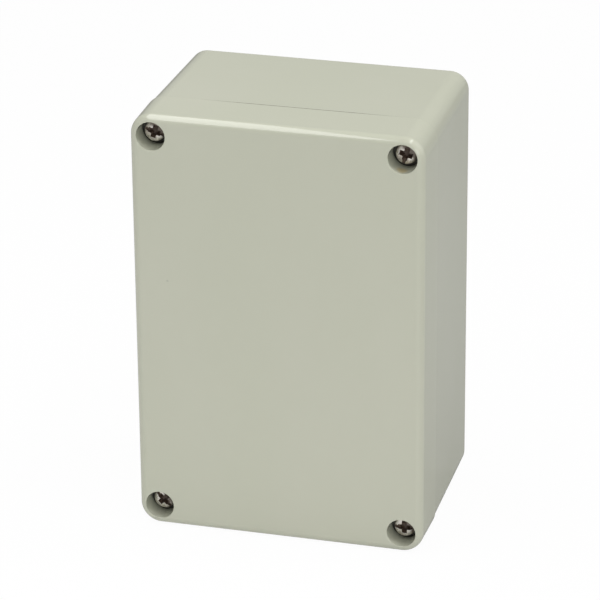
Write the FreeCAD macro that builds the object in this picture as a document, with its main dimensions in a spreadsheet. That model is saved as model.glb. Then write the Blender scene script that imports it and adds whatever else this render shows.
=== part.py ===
import FreeCAD, Part
import math
import os
import Sketcher
from FreeCAD import Placement, Rotation, Vector

# A moulded plastic project box that stands upright on its short end.
# X is its width, +Z is up, the lid faces -Y and the wall side faces +Y.
# The origin lies in the middle of the footprint, at the level of the lowest edge.
# The lid and the base are drawn from the seam between them: their own y is 0 on the seam,
# and their own x and z are 0 in the middle of the box.

# Each driving size: its name, its value in millimetres or degrees, and what it measures.
DRIVING_SIZES = (
    ("width", 80.0, "lid width at the seam"),
    ("height", 120.0, "lid height at the seam"),
    ("lid_depth", 15.0, "seam to the front face"),
    ("base_depth", 40.0, "seam to the back face"),
    ("lid_corner_radius", 6.0, "lid corner at the seam"),
    ("base_corner_radius", 5.6, "base corner at the seam"),
    ("lid_draft", 0.9, "draft of the lid's outside, degrees"),
    ("base_draft", 0.75, "draft of the base's outside, degrees"),
    ("rim_step", 0.3, "lid stands proud of the base all round"),
    ("front_radius", 2.2, "round along the front edges"),
    ("back_bevel", 0.8, "bevel along the back edges"),
    ("base_wall", 2.6, "side wall of the base at the seam"),
    ("back_wall", 2.6, "back wall"),
    ("front_wall", 2.6, "front wall"),
    ("cavity_corner_radius", 2.6, "corner of the cavity outline"),
    ("block_corner_radius", 3.2, "corner of a screw block that stands in the cavity"),
    ("block_wall", 2.6, "wall between a wall screw channel and the cavity"),
    ("tongue_width", 1.2, "width of the sealing tongue on the base"),
    ("tongue_height", 1.4, "height of the sealing tongue"),
    ("tongue_clearance", 0.3, "gap on each side of the tongue in the lid's groove"),
    ("lip_width", 1.2, "inner wall of the lid's groove"),
    ("seal_thickness", 1.6, "thickness of the gasket"),
    ("seal_clearance", 0.03, "gap on each side of the gasket"),
    ("rim_gap", 0.16, "widest opening of the seam between the screws"),
    ("rim_gap_margin", 7.0, "from a screw to where the seam opens"),
    ("rim_gap_run", 15.0, "length over which the seam opens"),
    ("screw_inset", 6.0, "screw axis to the lid's sides at the seam"),
    ("recess_radius", 4.1, "mouth of a screw recess"),
    ("recess_depth", 6.2, "front face to the recess floor"),
    ("recess_floor", 2.2, "thickness under the screw head"),
    ("neck_hole_radius", 1.35, "hole in the recess floor, smaller than the thread"),
    ("thread_room", 0.6, "room round the thread inside the lid"),
    ("head_radius", 2.75, "screw head"),
    ("head_height", 2.4, "screw head"),
    ("neck_radius", 1.15, "waist that keeps the screw in the lid"),
    ("thread_radius", 1.5, "outside of the thread"),
    ("thread_clearance", 0.05, "gap round the thread in its insert"),
    ("engaged_length", 5.2, "thread inside the base when the lid is closed"),
    ("release_margin", 0.3, "screw travel left once it is free of the base"),
    ("slot_width", 0.8, "slot of the screw head"),
    ("slot_depth", 0.9, "slot of the screw head"),
    ("cross_length", 3.1, "cross recess from tip to tip"),
    ("cross_width", 0.9, "arm of the cross recess"),
    ("cross_depth", 1.7, "cross recess"),
    ("turn_top_left", -17.0, "how far each screw head is turned, degrees"),
    ("turn_top_right", -73.0, "the same"),
    ("turn_bottom_left", -45.0, "the same"),
    ("turn_bottom_right", 0.0, "the same"),
    ("insert_radius", 2.2, "brass insert"),
    ("insert_length", 6.0, "brass insert"),
    ("insert_sink", 0.2, "insert below the seam"),
    ("insert_clearance", 0.02, "gap round an insert in the base"),
    ("wall_hole_spacing", 50.0, "between the wall holes, across the box"),
    ("wall_hole_radius", 2.2, "hole for a 4 mm wall screw"),
    ("channel_radius", 3.8, "channel for the head of a wall screw"),
    ("channel_floor", 4.0, "plastic under the head of a wall screw"),
    ("boss_spacing_x", 50.0, "between the board bosses, across the box"),
    ("boss_spacing_z", 76.0, "between the board bosses, up the box"),
    ("boss_radius", 3.0, "board boss"),
    ("boss_height", 5.0, "board boss above the back wall"),
    ("pilot_radius", 1.15, "pilot hole of a board boss"),
    ("pilot_depth", 5.5, "pilot hole of a board boss"),
)

# Places that several pieces share, as expressions on the sheet.
SEAM_Y = "((Sizes.lid_depth - Sizes.base_depth) / 2)"
MIDDLE_Z = "(Sizes.height / 2)"
SCREW_X = "(Sizes.width / 2 - Sizes.screw_inset)"
SCREW_Z = "(Sizes.height / 2 - Sizes.screw_inset)"
WALL_HOLE_X = "(Sizes.wall_hole_spacing / 2)"
BASE_HALF_WIDTH = "(Sizes.width / 2 - Sizes.rim_step)"
BASE_HALF_HEIGHT = "(Sizes.height / 2 - Sizes.rim_step)"
CAVITY_X = f"({BASE_HALF_WIDTH} - Sizes.base_wall)"
CAVITY_Z = f"({BASE_HALF_HEIGHT} - Sizes.base_wall)"
BLOCK_X = f"({WALL_HOLE_X} - Sizes.channel_radius - Sizes.block_wall)"
BLOCK_Z = f"({SCREW_Z} - Sizes.channel_radius - Sizes.block_wall)"
GROOVE_DEPTH = "(Sizes.tongue_height + Sizes.seal_thickness)"
TRAVEL = "(Sizes.engaged_length + Sizes.release_margin)"

# How near a plane an edge lies to count as in it.
NEAR = 0.0001

# The corners, as seen from the front: name, side in X, side in Z.
CORNERS = (
    ("top_left", -1, 1),
    ("top_right", 1, 1),
    ("bottom_left", -1, -1),
    ("bottom_right", 1, -1),
)


def write_sizes(doc):
    """The sheet of driving sizes."""
    sheet = doc.addObject("Spreadsheet::Sheet", "Sizes")
    for row, (alias, value, meaning) in enumerate(DRIVING_SIZES, 1):
        sheet.set(f"A{row}", meaning)
        sheet.set(f"B{row}", str(value))
        sheet.setAlias(f"B{row}", alias)
    doc.recompute()


def number(owner, expression):
    """The value that an expression has now, to start a sketch near its solution."""
    result = owner.evalExpression(expression)
    return float(getattr(result, "Value", result))


def new_body(doc, label, x="0", y=SEAM_Y, z=MIDDLE_Z):
    """An empty piece whose own origin lies at x, y and z."""
    body = doc.addObject("PartDesign::Body", label)
    body.Label = label
    for side, place in (("x", x), ("y", y), ("z", z)):
        body.setExpression(f"Placement.Base.{side}", place)
    return body


def origin_plane(body, role):
    """One of the piece's own three planes."""
    return next(plane for plane in body.Origin.OriginFeatures if plane.Role == role)


def new_sketch(body, label, role="XZ_Plane", offset="0"):
    """A sketch on one of the piece's planes, moved by an offset along the plane's normal."""
    sketch = body.newObject("Sketcher::SketchObject", label)
    sketch.AttachmentSupport = [(origin_plane(body, role), "")]
    sketch.MapMode = "FlatFace"
    sketch.setExpression("AttachmentOffset.Base.z", offset)
    return sketch


def seam_sketch(body, label, depth="0"):
    """A sketch parallel to the seam, at a depth behind it: its axes are X and Z."""
    return new_sketch(body, label, "XZ_Plane", f"-({depth})")


def bind(sketch, kind, *parts):
    """A constraint whose last part is the expression for its size."""
    *places, expression = parts
    index = sketch.addConstraint(Sketcher.Constraint(kind, *places, number(sketch, expression)))
    sketch.setExpression(f"Constraints[{index}]", expression)


def place_point(sketch, item, spot, x, y):
    """Hold a point of the sketch at x and y from its origin."""
    if x == "0":
        sketch.addConstraint(Sketcher.Constraint("PointOnObject", item, spot, -2))
    else:
        bind(sketch, "DistanceX", -1, 1, item, spot, x)
    if y == "0":
        sketch.addConstraint(Sketcher.Constraint("PointOnObject", item, spot, -1))
    else:
        bind(sketch, "DistanceY", -1, 1, item, spot, y)


def mirror_centre(sketch, first, other, flip_x, flip_y):
    """Hold a circle or arc as the mirror image of the first one."""
    if flip_x and flip_y:
        sketch.addConstraint(Sketcher.Constraint("Symmetric", first, 3, other, 3, -1, 1))
    else:
        axis = -2 if flip_x else -1
        sketch.addConstraint(Sketcher.Constraint("Symmetric", first, 3, other, 3, axis))
    sketch.addConstraint(Sketcher.Constraint("Equal", first, other))


def draw_outline(sketch, quarter):
    """A closed outline that is alike in all four quarters, with an arc at each corner.

    quarter lists the corners from the X side to the Z side: x and z of the arc's centre,
    its radius, and whether it bulges outwards.
    """
    corners = []
    firsts = {}
    quarters = ((1, 1, 0), (-1, 1, 90), (-1, -1, 180), (1, -1, 270))
    for flip, (side_x, side_z, turn) in enumerate(quarters):
        order = range(len(quarter)) if flip % 2 == 0 else reversed(range(len(quarter)))
        for place in order:
            x, z, radius, outward = quarter[place]
            centre = Vector(side_x * number(sketch, x), side_z * number(sketch, z), 0)
            start = math.radians(turn if outward else turn + 180)
            circle = Part.Circle(centre, Vector(0, 0, 1), number(sketch, radius))
            arc = sketch.addGeometry(Part.ArcOfCircle(circle, start, start + math.pi / 2))
            if flip == 0:
                firsts[place] = arc
                place_point(sketch, arc, 3, x, z)
                bind(sketch, "Radius", arc, radius)
            else:
                mirror_centre(sketch, firsts[place], arc, side_x < 0, side_z < 0)
            corners.append((arc, 1 if outward else 2, 2 if outward else 1))
    join_corners(sketch, corners)


def join_corners(sketch, corners):
    """Tangent lines from each corner arc to the next."""
    points = {}
    for arc, enter, leave in corners:
        points[arc, enter] = sketch.getPoint(arc, enter)
        points[arc, leave] = sketch.getPoint(arc, leave)
    for (arc, _, leave), (next_arc, enter, _) in zip(corners, corners[1:] + corners[:1]):
        line = sketch.addGeometry(Part.LineSegment(points[arc, leave], points[next_arc, enter]))
        sketch.addConstraint(Sketcher.Constraint("Tangent", line, 1, arc, leave))
        sketch.addConstraint(Sketcher.Constraint("Tangent", line, 2, next_arc, enter))


def draw_shell(sketch, half_width, half_height, radius):
    """The outline of the lid or the base: a rectangle with round corners."""
    draw_outline(sketch, [(f"{half_width} - {radius}", f"{half_height} - {radius}", radius, True)])


def draw_cavity(sketch, grow="0"):
    """The cavity's outline at the seam, which steps round the four screw blocks, grown outwards."""
    corner = "Sizes.cavity_corner_radius"
    block = "Sizes.block_corner_radius"
    draw_outline(
        sketch,
        [
            (f"{CAVITY_X} - {corner}", f"{BLOCK_Z} - {corner}", f"{corner} + {grow}", True),
            (f"{BLOCK_X} + {block}", f"{BLOCK_Z} + {block}", f"{block} - ({grow})", False),
            (f"{BLOCK_X} - {corner}", f"{CAVITY_Z} - {corner}", f"{corner} + {grow}", True),
        ],
    )


def draw_four_circles(sketch, x, z, radius):
    """A circle in each quarter."""
    first = None
    for _, side_x, side_z in CORNERS:
        centre = Vector(side_x * number(sketch, x), side_z * number(sketch, z), 0)
        circle = sketch.addGeometry(Part.Circle(centre, Vector(0, 0, 1), number(sketch, radius)))
        if first is None:
            first = circle
            place_point(sketch, circle, 3, f"-({x})", z)
            bind(sketch, "Radius", circle, radius)
        else:
            mirror_centre(sketch, first, circle, side_x > 0, side_z < 0)


def draw_polygon(sketch, points):
    """A closed outline of straight lines through points given as pairs of expressions."""
    places = [Vector(number(sketch, x), number(sketch, y), 0) for x, y in points]
    lines = [
        sketch.addGeometry(Part.LineSegment(start, end))
        for start, end in zip(places, places[1:] + places[:1])
    ]
    for line, next_line in zip(lines, lines[1:] + lines[:1]):
        sketch.addConstraint(Sketcher.Constraint("Coincident", line, 2, next_line, 1))
    for line, (x, y) in zip(lines, points):
        place_point(sketch, line, 1, x, y)


def extrude(body, kind, sketch, length, reverse, draft=None):
    """A pad or a pocket of the sketch. With a draft it narrows as it goes."""
    feature = body.newObject(f"PartDesign::{kind}", f"{sketch.Label}_{kind.lower()}")
    feature.Profile = sketch
    feature.Reversed = reverse
    feature.setExpression("Length", length)
    if draft:
        feature.setExpression("TaperAngle", f"-({draft})")
    body.Document.recompute()
    return feature


def pad_forward(body, sketch, length, draft=None):
    return extrude(body, "Pad", sketch, length, False, draft)


def pad_backward(body, sketch, length, draft=None):
    return extrude(body, "Pad", sketch, length, True, draft)


def cut_backward(body, sketch, length, draft=None):
    return extrude(body, "Pocket", sketch, length, False, draft)


def cut_forward(body, sketch, length, draft=None):
    return extrude(body, "Pocket", sketch, length, True, draft)


def dress_edges(body, kind, label, chosen, measure, size):
    """A fillet or a bevel on the chosen edges of the piece as it stands."""
    tip = body.Tip
    names = [f"Edge{count}" for count, edge in enumerate(tip.Shape.Edges, 1) if chosen(edge)]
    dressing = body.newObject(f"PartDesign::{kind}", label)
    dressing.Base = (tip, names)
    dressing.setExpression(measure, size)
    body.Document.recompute()


def round_edges(body, label, chosen, radius):
    dress_edges(body, "Fillet", label, chosen, "Radius", radius)


def bevel_edges(body, label, chosen, width):
    dress_edges(body, "Chamfer", label, chosen, "Size", width)


def lies_at(body, depth):
    """A test for edges that lie in the plane at this depth behind the seam."""
    level = number(body, depth)
    return lambda edge: max(abs(edge.BoundBox.YMin - level), abs(edge.BoundBox.YMax - level)) < NEAR


def open_seam(body, role, half_length, start):
    """Lower the base's rim a little between the screws, outside the tongue, on two facing sides.

    The seam is tight at the screws and opens slowly towards the middle of each side.
    """
    end = f"({half_length} - Sizes.rim_gap_margin)"
    full = f"({end} - Sizes.rim_gap_run)"
    points = [
        (f"-{end}", "0"),
        (f"-{full}", "Sizes.rim_gap"),
        (full, "Sizes.rim_gap"),
        (end, "0"),
    ]
    if role == "YZ_Plane":
        points = [(depth, along) for along, depth in points]
    sketch = new_sketch(body, f"seam_opening_{role[:2].lower()}", role, start)
    draw_polygon(sketch, points)
    opening = cut_forward(body, sketch, "Sizes.base_wall")
    both = body.newObject("PartDesign::Mirrored", f"{sketch.Label}_both")
    both.Originals = [opening]
    both.MirrorPlane = (origin_plane(body, role), [""])
    body.Tip = both
    body.Document.recompute()


def make_base(doc):
    """The deep half: walls, sealing tongue, screw blocks with their channels, and board bosses."""
    body = new_body(doc, "base")
    outline = seam_sketch(body, "base_outline")
    draw_shell(outline, BASE_HALF_WIDTH, BASE_HALF_HEIGHT, "Sizes.base_corner_radius")
    pad_backward(body, outline, "Sizes.base_depth", "Sizes.base_draft")
    bevel_edges(body, "back_bevel", lies_at(body, "Sizes.base_depth"), "Sizes.back_bevel")

    tongue = seam_sketch(body, "tongue")
    draw_cavity(tongue)
    draw_cavity(tongue, "Sizes.tongue_width")
    pad_forward(body, tongue, "Sizes.tongue_height")

    cavity_depth = "(Sizes.base_depth - Sizes.back_wall)"
    cavity = seam_sketch(body, "base_cavity")
    draw_cavity(cavity)
    cut_backward(body, cavity, cavity_depth)

    boss = seam_sketch(body, "board_boss", cavity_depth)
    boss_x = "(Sizes.boss_spacing_x / 2)"
    boss_z = "(Sizes.boss_spacing_z / 2)"
    draw_four_circles(boss, boss_x, boss_z, "Sizes.boss_radius")
    pad_forward(body, boss, "Sizes.boss_height")
    pilot = seam_sketch(body, "board_pilot", f"{cavity_depth} - Sizes.boss_height")
    draw_four_circles(pilot, boss_x, boss_z, "Sizes.pilot_radius")
    cut_backward(body, pilot, "Sizes.pilot_depth")

    channel = seam_sketch(body, "wall_screw_channel")
    draw_four_circles(channel, WALL_HOLE_X, SCREW_Z, "Sizes.channel_radius")
    cut_backward(body, channel, "Sizes.base_depth - Sizes.channel_floor")
    wall_hole = seam_sketch(body, "wall_hole")
    draw_four_circles(wall_hole, WALL_HOLE_X, SCREW_Z, "Sizes.wall_hole_radius")
    cut_backward(body, wall_hole, "Sizes.base_depth")

    insert_hole = seam_sketch(body, "insert_hole")
    draw_four_circles(insert_hole, SCREW_X, SCREW_Z, "Sizes.insert_radius + Sizes.insert_clearance")
    cut_backward(body, insert_hole, "Sizes.insert_sink + Sizes.insert_length")

    open_seam(body, "XY_Plane", SCREW_X, f"{CAVITY_Z} + Sizes.tongue_width")
    open_seam(body, "YZ_Plane", SCREW_Z, f"{CAVITY_X} + Sizes.tongue_width")
    return body


def make_lid(doc):
    """The shallow half: screw recesses in front, gasket groove and room for the threads behind."""
    body = new_body(doc, "lid")
    outline = seam_sketch(body, "lid_outline")
    draw_shell(outline, "Sizes.width / 2", "Sizes.height / 2", "Sizes.lid_corner_radius")
    pad_forward(body, outline, "Sizes.lid_depth", "Sizes.lid_draft")
    round_edges(body, "front_round", lies_at(body, "-Sizes.lid_depth"), "Sizes.front_radius")

    cavity = seam_sketch(body, "lid_cavity")
    draw_cavity(cavity, "(-Sizes.tongue_clearance - Sizes.lip_width)")
    cut_forward(body, cavity, "Sizes.lid_depth - Sizes.front_wall")

    groove = seam_sketch(body, "gasket_groove")
    draw_cavity(groove, "(-Sizes.tongue_clearance)")
    draw_cavity(groove, "(Sizes.tongue_width + Sizes.tongue_clearance)")
    cut_forward(body, groove, GROOVE_DEPTH)

    recess = seam_sketch(body, "screw_recess", "-Sizes.lid_depth")
    draw_four_circles(recess, SCREW_X, SCREW_Z, "Sizes.recess_radius")
    cut_backward(body, recess, "Sizes.recess_depth")

    thread_room = seam_sketch(body, "thread_room")
    draw_four_circles(thread_room, SCREW_X, SCREW_Z, "Sizes.thread_radius + Sizes.thread_room")
    cut_forward(body, thread_room, "Sizes.lid_depth - Sizes.recess_depth - Sizes.recess_floor")
    neck_hole = seam_sketch(body, "neck_hole")
    draw_four_circles(neck_hole, SCREW_X, SCREW_Z, "Sizes.neck_hole_radius")
    cut_forward(body, neck_hole, "Sizes.lid_depth")
    return body


def make_gasket(doc):
    """The elastic seal at the bottom of the lid's groove. The base's tongue meets its face."""
    body = new_body(doc, "gasket")
    ring = seam_sketch(body, "gasket_ring", f"-{GROOVE_DEPTH}")
    draw_cavity(ring, "(Sizes.seal_clearance - Sizes.tongue_clearance)")
    draw_cavity(ring, "(Sizes.tongue_width + Sizes.tongue_clearance - Sizes.seal_clearance)")
    pad_backward(body, ring, "Sizes.seal_thickness")
    return body


def revolve(body, sketch):
    """A full turn of the sketch about the piece's own Z axis."""
    turned = body.newObject("PartDesign::Revolution", f"{sketch.Label}_turned")
    turned.Profile = sketch
    turned.ReferenceAxis = (sketch, ["V_Axis"])
    turned.Angle = 360
    body.Document.recompute()


def face_forward(body):
    """Turn a piece that was drawn along Z so that its top faces the front."""
    body.Placement = Placement(body.Placement.Base, Rotation(Vector(1, 0, 0), 90))


def draw_bar(sketch, length, width):
    """A rectangle about the middle of the sketch."""
    draw_polygon(
        sketch,
        [
            (f"-{length} / 2", f"-{width} / 2"),
            (f"{length} / 2", f"-{width} / 2"),
            (f"{length} / 2", f"{width} / 2"),
            (f"-{length} / 2", f"{width} / 2"),
        ],
    )


def drive_sketch(body, label, turn):
    """A sketch on top of the screw head, turned as the slot is."""
    sketch = new_sketch(body, label, "XY_Plane", "Sizes.head_height")
    sketch.AttachmentOffset = Placement(sketch.AttachmentOffset.Base, Rotation(Vector(0, 0, 1), 1))
    sketch.setExpression("AttachmentOffset.Rotation.Angle", turn)
    return sketch


def make_screw(doc, corner, side_x, side_z):
    """A captive lid screw: head with slot and cross recess, thin neck, short thread."""
    body = new_body(
        doc,
        f"lid_screw_{corner}",
        f"{side_x} * {SCREW_X}",
        f"{SEAM_Y} - Sizes.lid_depth + Sizes.recess_depth",
        f"{MIDDLE_Z} + {side_z} * {SCREW_Z}",
    )
    face_forward(body)
    neck_end = f"-(Sizes.recess_floor + {TRAVEL})"
    tip = "-(Sizes.lid_depth - Sizes.recess_depth + Sizes.engaged_length)"
    profile = new_sketch(body, f"{corner}_screw_profile")
    draw_polygon(
        profile,
        [
            ("0", "Sizes.head_height"),
            ("0", tip),
            ("Sizes.thread_radius", tip),
            ("Sizes.thread_radius", neck_end),
            ("Sizes.neck_radius", neck_end),
            ("Sizes.neck_radius", "0"),
            ("Sizes.head_radius", "0"),
            ("Sizes.head_radius", "Sizes.head_height"),
        ],
    )
    revolve(body, profile)

    slot = drive_sketch(body, f"{corner}_slot", f"Sizes.turn_{corner}")
    draw_bar(slot, "(3 * Sizes.head_radius)", "Sizes.slot_width")
    cut_backward(body, slot, "Sizes.slot_depth")
    for arm, sizes in (
        ("along", ("Sizes.cross_length", "Sizes.cross_width")),
        ("across", ("Sizes.cross_width", "Sizes.cross_length")),
    ):
        sketch = drive_sketch(body, f"{corner}_cross_{arm}", f"Sizes.turn_{corner}")
        draw_bar(sketch, *sizes)
        cut_backward(body, sketch, "Sizes.cross_depth")
    return body


def make_insert(doc, corner, side_x, side_z):
    """A brass insert with a tapped bore, sunk in its screw block."""
    body = new_body(
        doc,
        f"insert_{corner}",
        f"{side_x} * {SCREW_X}",
        f"{SEAM_Y} + Sizes.insert_sink",
        f"{MIDDLE_Z} + {side_z} * {SCREW_Z}",
    )
    face_forward(body)
    bore = "Sizes.thread_radius + Sizes.thread_clearance"
    foot = "-Sizes.insert_length"
    profile = new_sketch(body, f"{corner}_insert_profile")
    draw_polygon(
        profile,
        [(bore, "0"), (bore, foot), ("Sizes.insert_radius", foot), ("Sizes.insert_radius", "0")],
    )
    revolve(body, profile)
    return body


def check(doc, pieces):
    """Stop if any object failed or any piece is not one sound solid."""
    for thing in doc.Objects:
        if "Invalid" in thing.State or "Error" in thing.State:
            raise RuntimeError(f"{thing.Label} failed: {thing.State}")
    for piece in pieces:
        shape = piece.Shape
        if shape.isNull() or not shape.isValid() or len(shape.Solids) != 1:
            raise RuntimeError(f"{piece.Label} is not one sound solid")


def main():
    doc = FreeCAD.newDocument("project_box")
    write_sizes(doc)
    pieces = [make_base(doc), make_lid(doc), make_gasket(doc)]
    for corner in CORNERS:
        pieces.append(make_screw(doc, *corner))
        pieces.append(make_insert(doc, *corner))
    doc.recompute()
    check(doc, pieces)
    os.makedirs("parts", exist_ok=True)
    for piece in pieces:
        piece.Shape.exportStep(f"parts/{piece.Label}.step")


main()
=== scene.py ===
import math

import bmesh
import bpy
from bpy.props import FloatProperty, FloatVectorProperty, PointerProperty
from mathutils import Matrix, Vector


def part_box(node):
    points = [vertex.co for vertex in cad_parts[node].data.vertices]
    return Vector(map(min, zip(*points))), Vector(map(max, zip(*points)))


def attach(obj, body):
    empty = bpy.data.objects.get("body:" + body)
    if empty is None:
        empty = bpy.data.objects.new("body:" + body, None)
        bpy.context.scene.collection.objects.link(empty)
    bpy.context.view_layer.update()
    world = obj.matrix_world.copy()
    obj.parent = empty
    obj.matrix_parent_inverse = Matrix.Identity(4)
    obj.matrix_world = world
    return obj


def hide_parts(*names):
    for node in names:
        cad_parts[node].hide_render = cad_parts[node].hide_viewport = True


bl_info = {
    "name": "Plastic Project Box",
    "version": (1, 0, 0),
    "blender": (4, 5, 0),
    "location": "3D View > Sidebar > Project Box",
    "description": "Builds a moulded two-part project box with captive lid screws",
    "category": "Object",
}

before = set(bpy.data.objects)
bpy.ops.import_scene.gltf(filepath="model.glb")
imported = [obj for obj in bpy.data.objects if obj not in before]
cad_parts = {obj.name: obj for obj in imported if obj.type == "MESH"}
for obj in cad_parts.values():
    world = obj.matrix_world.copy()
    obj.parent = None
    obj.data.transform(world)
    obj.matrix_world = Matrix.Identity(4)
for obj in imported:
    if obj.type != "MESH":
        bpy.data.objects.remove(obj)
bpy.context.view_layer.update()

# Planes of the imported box. The lid faces -Y and the wall side faces +Y.
LID_LOW, LID_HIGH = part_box("lid")
GASKET_LOW, GASKET_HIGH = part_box("gasket")
FRONT_Y = LID_LOW.y
SEAM_Y = LID_HIGH.y
BACK_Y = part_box("base")[1].y
MIDDLE_Z = (LID_LOW.z + LID_HIGH.z) / 2
HALF_X = (LID_HIGH.x - LID_LOW.x) / 2
HALF_Z = (LID_HIGH.z - LID_LOW.z) / 2
# From the lid's face to the top of the screw heads.
HEAD_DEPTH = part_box("lid_screw_top_left")[0].y - FRONT_Y
TOWARDS_FRONT = -1
TOWARDS_BACK = 1

CORNERS = ("top_left", "top_right", "bottom_left", "bottom_right")
# How far each screw head is turned, seen from the front.
HEAD_TURNS = {
    "top_left": math.radians(-17),
    "top_right": math.radians(74),
    "bottom_left": math.radians(-45),
    "bottom_right": math.radians(0),
}

MM = 0.001
# Dome of the screw heads. Their finish follows it too.
CROWN_RADIUS = 14.0 * MM
# How far a cutting shape reaches past the surface that it opens.
OVERSHOOT = 1.0 * MM
# Points closer than this are one point.
MERGE = 0.003 * MM
ARC_STEPS = 14
TURN_STEPS = 64
THREAD_STEPS = 28
KNURL_STEPS = 60


def screw_axes():
    """The x and z of every screw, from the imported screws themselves."""
    places = {}
    for corner in CORNERS:
        low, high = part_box(f"lid_screw_{corner}")
        places[corner] = ((low.x + high.x) / 2, (low.z + high.z) / 2)
    return places


SCREW_AXES = screw_axes()
# How far the screws are from the middle, across and along.
SCREW_X = SCREW_AXES["top_right"][0]
SCREW_Z = SCREW_AXES["top_right"][1] - MIDDLE_Z

# Where each lamp hangs, what it is aimed at, and its width and length, in metres.
LAMPS = {
    "left_strip": ((-0.264, -0.25, 0.72), (-0.264, -0.2492, 0), (0.264, 1.24)),
    "right_strip": ((0.25, -0.2, 0.72), (0.25, -0.1992, 0), (0.1, 1.1)),
    "front_softbox": ((0.734, -1.049, 0.286), (0, 0, MIDDLE_Z), (0.5, 0.5)),
    "side_softbox": ((1.5, 0.14, 0.98), (0, 0, MIDDLE_Z), (2.3, 1.8)),
}


def in_four_quarters(x, z):
    """The four places that mirror x and z about the middle of the box."""
    return [(side_x * x, MIDDLE_Z + side_z * z) for side_x in (-1, 1) for side_z in (-1, 1)]


# Shapes


def cap_openings(bm):
    """Close every open outline, point all faces outwards and return the new ones."""
    open_edges = [edge for edge in bm.edges if edge.is_boundary]
    caps = bmesh.ops.holes_fill(bm, edges=open_edges, sides=0)["faces"]
    bmesh.ops.recalc_face_normals(bm, faces=bm.faces)
    return caps


def round_off(bm, geom, radius, segments, affect):
    """Turn edges, or the corners of a flat outline, into arcs."""
    bmesh.ops.bevel(
        bm,
        geom=geom,
        offset=radius,
        offset_type="OFFSET",
        segments=segments,
        profile=0.5,
        affect=affect,
        material=-1,
    )


def thicken(bm, step):
    """Make a solid of a flat shape."""
    grown = bmesh.ops.extrude_face_region(bm, geom=bm.faces[:], use_keep_orig=True)
    verts = [item for item in grown["geom"] if isinstance(item, bmesh.types.BMVert)]
    bmesh.ops.translate(bm, vec=step, verts=verts)
    bmesh.ops.recalc_face_normals(bm, faces=bm.faces)


def raise_face(bm, face, steps):
    """Push a face out in steps of inset and rise. Each leaves a ring of wall behind it."""
    for inset, rise in steps:
        bmesh.ops.inset_individual(
            bm, faces=[face], thickness=inset, depth=rise, use_even_offset=True
        )


def drafted_wall(depth, draft):
    """The step of a straight wall that leans inwards as it rises."""
    return [(depth * math.tan(draft), depth)]


def rounded_edge(radius, draft, segments):
    """The steps of a round from a leaning wall onto a flat top."""
    points = arc_points((0, 0), radius, draft, math.pi / 2, segments)
    return [(x - end_x, end_y - y) for (x, y), (end_x, end_y) in zip(points, points[1:])]


def wall_with_round(depth, draft, radius, segments):
    """A leaning wall and the round at its end, together as deep as depth."""
    wall = depth - radius * (1 - math.sin(draft))
    return drafted_wall(wall, draft) + rounded_edge(radius, draft, segments)


def rim_plate(sizes, step, radius, facing):
    """A flat plate with round corners at the rim of one half, a step smaller than the box."""
    bm = bmesh.new()
    verts = bmesh.ops.create_grid(bm, x_segments=1, y_segments=1, size=1)["verts"]
    bmesh.ops.scale(bm, vec=(HALF_X - step, HALF_Z - step, 1), verts=verts)
    turn = Matrix.Rotation(-facing * math.pi / 2, 3, "X")
    bmesh.ops.rotate(bm, cent=(0, 0, 0), matrix=turn, verts=verts)
    middle = (0, SEAM_Y + facing * sizes.rim_radius, MIDDLE_Z)
    bmesh.ops.translate(bm, vec=middle, verts=verts)
    round_off(bm, verts, radius, ARC_STEPS, "VERTICES")
    return bm, bm.faces[:][0]


def cavity_plate(sizes, grow, y, facing):
    """The outline of the cavity at depth y, which steps round the four screw blocks."""
    far_x, far_z = sizes.cavity_half_width + grow, sizes.cavity_half_height + grow
    block_x, block_z = sizes.block_half_width + grow, sizes.block_half_height + grow
    quarter = [(far_x, block_z), (block_x, block_z), (block_x, far_z)]
    places = quarter + [(-x, z) for x, z in reversed(quarter)]
    places += [(-x, -z) for x, z in quarter] + [(x, -z) for x, z in reversed(quarter)]
    bm = bmesh.new()
    verts = [bm.verts.new((x, y, MIDDLE_Z + z)) for x, z in places]
    face = bm.faces.new(verts)
    face.normal_update()
    if face.normal.y * facing < 0:
        face.normal_flip()
    block_corner = (block_x, block_z)
    inner = [vert for vert, (x, z) in zip(verts, places) if (abs(x), abs(z)) == block_corner]
    outer = [vert for vert in verts if vert not in inner]
    round_off(bm, outer, sizes.cavity_corner_radius + grow, ARC_STEPS, "VERTICES")
    inner = [vert for vert in inner if vert.is_valid]
    round_off(bm, inner, sizes.block_corner_radius - grow, ARC_STEPS, "VERTICES")
    return bm, bm.faces[:][0]


def cavity_ring(sizes, inner_grow, outer_grow, y, facing, height):
    """A band that follows the cavity's outline, between two offsets from it."""
    bm, face = cavity_plate(sizes, outer_grow, y, facing)
    bmesh.ops.inset_individual(
        bm, faces=[face], thickness=outer_grow - inner_grow, depth=0, use_even_offset=True
    )
    bmesh.ops.delete(bm, geom=[face], context="FACES_ONLY")
    thicken(bm, (0, facing * height, 0))
    return bm


def turned(profile, x, z, steps=TURN_STEPS):
    """A solid of revolution about a screw axis. The profile lists radius and y."""
    bm = bmesh.new()
    verts = [bm.verts.new((x + radius, y, z)) for radius, y in profile]
    edges = [bm.edges.new(pair) for pair in zip(verts, verts[1:])]
    bmesh.ops.spin(
        bm,
        geom=verts + edges,
        cent=(x, 0, z),
        axis=(0, 1, 0),
        dvec=(0, 0, 0),
        angle=math.tau,
        steps=steps,
        use_merge=True,
        use_duplicate=False,
    )
    bmesh.ops.remove_doubles(bm, verts=bm.verts, dist=MERGE)
    bmesh.ops.recalc_face_normals(bm, faces=bm.faces)
    return bm


def solid_profile(*points):
    """A profile with both its ends joined to the axis."""
    return [(0, points[0][1]), *points, (0, points[-1][1])]


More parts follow.
